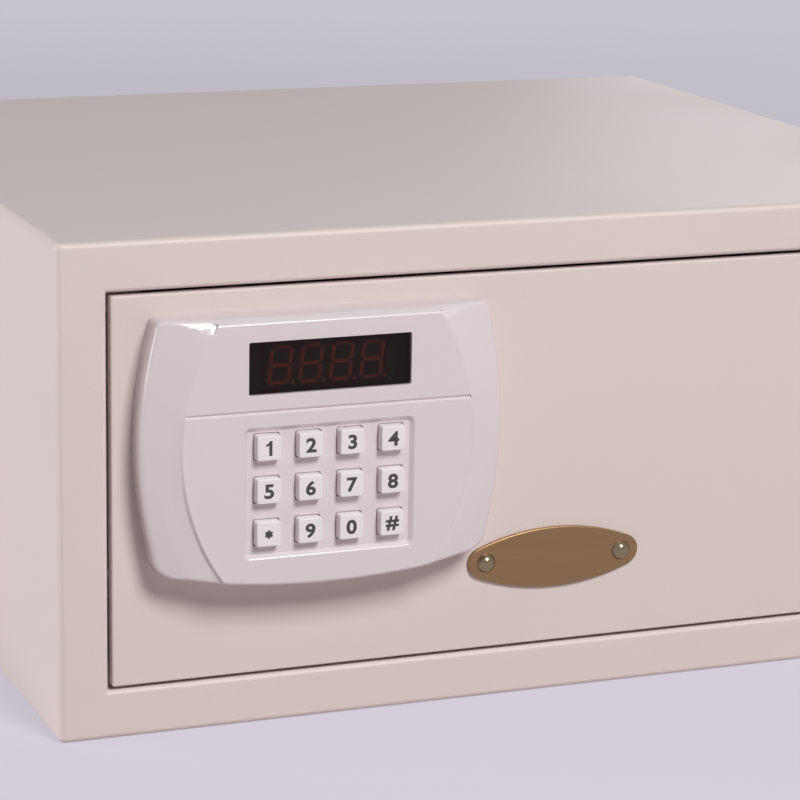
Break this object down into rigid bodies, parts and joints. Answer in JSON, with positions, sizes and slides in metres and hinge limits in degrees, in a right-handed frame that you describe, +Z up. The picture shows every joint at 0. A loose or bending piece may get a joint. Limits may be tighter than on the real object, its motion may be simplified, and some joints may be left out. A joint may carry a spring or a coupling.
{
  "type": "electronic laptop safe",
  "caption": "Steel laptop safe with a keypad and display on a hinged door, motor-driven bolts, and an oval brass plate over a key override.",
  "frame": {"origin": "centre of the case's underside, left to right and front to back", "axes": "+Z up, front faces -Y, door hinge on the +X side"},
  "size_m": [0.42, 0.39, 0.2],
  "materials": {
    "case_paint": "satin powder coat, warm off-white",
    "housing_plastic": "fine moulded texture, off-white",
    "key_plastic": "moulded, off-white, dark printed figures",
    "smoked_lens": "smoked red-black window",
    "dark_plastic": "moulded black",
    "silicone": "grey silicone",
    "circuit_board": "green solder mask",
    "brass": "brushed, slightly dull",
    "polished_steel": "polished",
    "zinc_steel": "zinc plated",
    "black_rubber": "matt",
    "felt": "needle felt, charcoal",
    "ribbon_grey": "grey insulation",
    "cell_wrap": "plain blue sleeve",
    "bronze": "sintered bronze"
  },
  "bodies": {
    "case": {"case_wrap": "case_paint", "doorway_liner": "case_paint", "back_panel": "case_paint", "floor_mat": "felt", "hinge_pin_top": "zinc_steel", "hinge_pin_bottom": "zinc_steel", "door_stop_top": "case_paint", "door_stop_bottom": "case_paint", "stop_pad_top": "black_rubber", "stop_pad_bottom": "black_rubber"},
    "door": {"door_plate": "case_paint", "hinge_block_top": "zinc_steel", "hinge_block_bottom": "zinc_steel", "hinge_bush_top": "bronze", "hinge_bush_bottom": "bronze", "keypad_housing": "housing_plastic", "display_lens": "smoked_lens", "keypad_board": "circuit_board", "key_dome_mat": "silicone", "keypad_ribbon": "ribbon_grey", "housing_screw_left": "zinc_steel", "housing_screw_right": "zinc_steel", "override_cover_plate": "brass", "cover_plate_screw_left": "polished_steel", "cover_plate_screw_right": "polished_steel", "override_barrel": "zinc_steel", "override_nut": "zinc_steel", "gearbox_housing": "dark_plastic", "bolt_motor": "polished_steel", "lock_chassis": "zinc_steel", "control_board": "circuit_board", "limit_switch": "dark_plastic", "lock_cover": "case_paint", "lock_cover_screw_left": "zinc_steel", "lock_cover_screw_right": "zinc_steel", "battery_box": "dark_plastic", "battery_1": "cell_wrap", "battery_2": "cell_wrap", "battery_3": "cell_wrap", "battery_4": "cell_wrap"},
    "bolts": {"bolt_top": "polished_steel", "bolt_bottom": "polished_steel", "bolt_bar": "zinc_steel"},
    "pinion": {"drive_pinion": "zinc_steel"},
    "key_plug": {"override_plug": "polished_steel", "override_cam": "zinc_steel", "cam_nut": "zinc_steel"},
    "lid": {"battery_lid": "dark_plastic"},
    "key_1_cap": {"key_1": "key_plastic"},
    "key_2_cap": {"key_2": "key_plastic"},
    "key_3_cap": {"key_3": "key_plastic"},
    "key_4_cap": {"key_4": "key_plastic"},
    "key_5_cap": {"key_5": "key_plastic"},
    "key_6_cap": {"key_6": "key_plastic"},
    "key_7_cap": {"key_7": "key_plastic"},
    "key_8_cap": {"key_8": "key_plastic"},
    "key_star_cap": {"key_star": "key_plastic"},
    "key_9_cap": {"key_9": "key_plastic"},
    "key_0_cap": {"key_0": "key_plastic"},
    "key_hash_cap": {"key_hash": "key_plastic"}
  },
  "joints": [
    {"name": "door_swing", "type": "hinge", "parent": "case", "child": "door", "pos_m": [0.163, -0.1758, 0.1], "axis": [0, 0, 1], "range_deg": [0, 105]},
    {"name": "bolt_throw", "type": "slide", "parent": "door", "child": "bolts", "axis": [-1, 0, 0], "range_m": [0, 0.015]},
    {"name": "pinion_spin", "type": "hinge", "parent": "door", "child": "pinion", "pos_m": [-0.078, -0.169, 0.108], "axis": [0, 1, 0], "range_deg": [0, 110]},
    {"name": "override_turn", "type": "hinge", "parent": "door", "child": "key_plug", "pos_m": [0, -0.172, 0.058], "axis": [0, -1, 0], "range_deg": [0, 90]},
    {"name": "lid_lift", "type": "slide", "parent": "door", "child": "lid", "axis": [0, 1, 0], "range_m": [0, 0.03]},
    {"name": "press_1", "type": "slide", "parent": "door", "child": "key_1_cap", "axis": [0, 1, 0], "range_m": [0, 0.0012], "stiffness_N_per_m": 600},
    {"name": "press_2", "type": "slide", "parent": "door", "child": "key_2_cap", "axis": [0, 1, 0], "range_m": [0, 0.0012], "stiffness_N_per_m": 600},
    {"name": "press_3", "type": "slide", "parent": "door", "child": "key_3_cap", "axis": [0, 1, 0], "range_m": [0, 0.0012], "stiffness_N_per_m": 600},
    {"name": "press_4", "type": "slide", "parent": "door", "child": "key_4_cap", "axis": [0, 1, 0], "range_m": [0, 0.0012], "stiffness_N_per_m": 600},
    {"name": "press_5", "type": "slide", "parent": "door", "child": "key_5_cap", "axis": [0, 1, 0], "range_m": [0, 0.0012], "stiffness_N_per_m": 600},
    {"name": "press_6", "type": "slide", "parent": "door", "child": "key_6_cap", "axis": [0, 1, 0], "range_m": [0, 0.0012], "stiffness_N_per_m": 600},
    {"name": "press_7", "type": "slide", "parent": "door", "child": "key_7_cap", "axis": [0, 1, 0], "range_m": [0, 0.0012], "stiffness_N_per_m": 600},
    {"name": "press_8", "type": "slide", "parent": "door", "child": "key_8_cap", "axis": [0, 1, 0], "range_m": [0, 0.0012], "stiffness_N_per_m": 600},
    {"name": "press_star", "type": "slide", "parent": "door", "child": "key_star_cap", "axis": [0, 1, 0], "range_m": [0, 0.0012], "stiffness_N_per_m": 600},
    {"name": "press_9", "type": "slide", "parent": "door", "child": "key_9_cap", "axis": [0, 1, 0], "range_m": [0, 0.0012], "stiffness_N_per_m": 600},
    {"name": "press_0", "type": "slide", "parent": "door", "child": "key_0_cap", "axis": [0, 1, 0], "range_m": [0, 0.0012], "stiffness_N_per_m": 600},
    {"name": "press_hash", "type": "slide", "parent": "door", "child": "key_hash_cap", "axis": [0, 1, 0], "range_m": [0, 0.0012], "stiffness_N_per_m": 600}
  ],
  "couplings": [
    {"joint": "pinion_spin", "follows": "bolt_throw", "rad_per_m": 125}
  ]
}
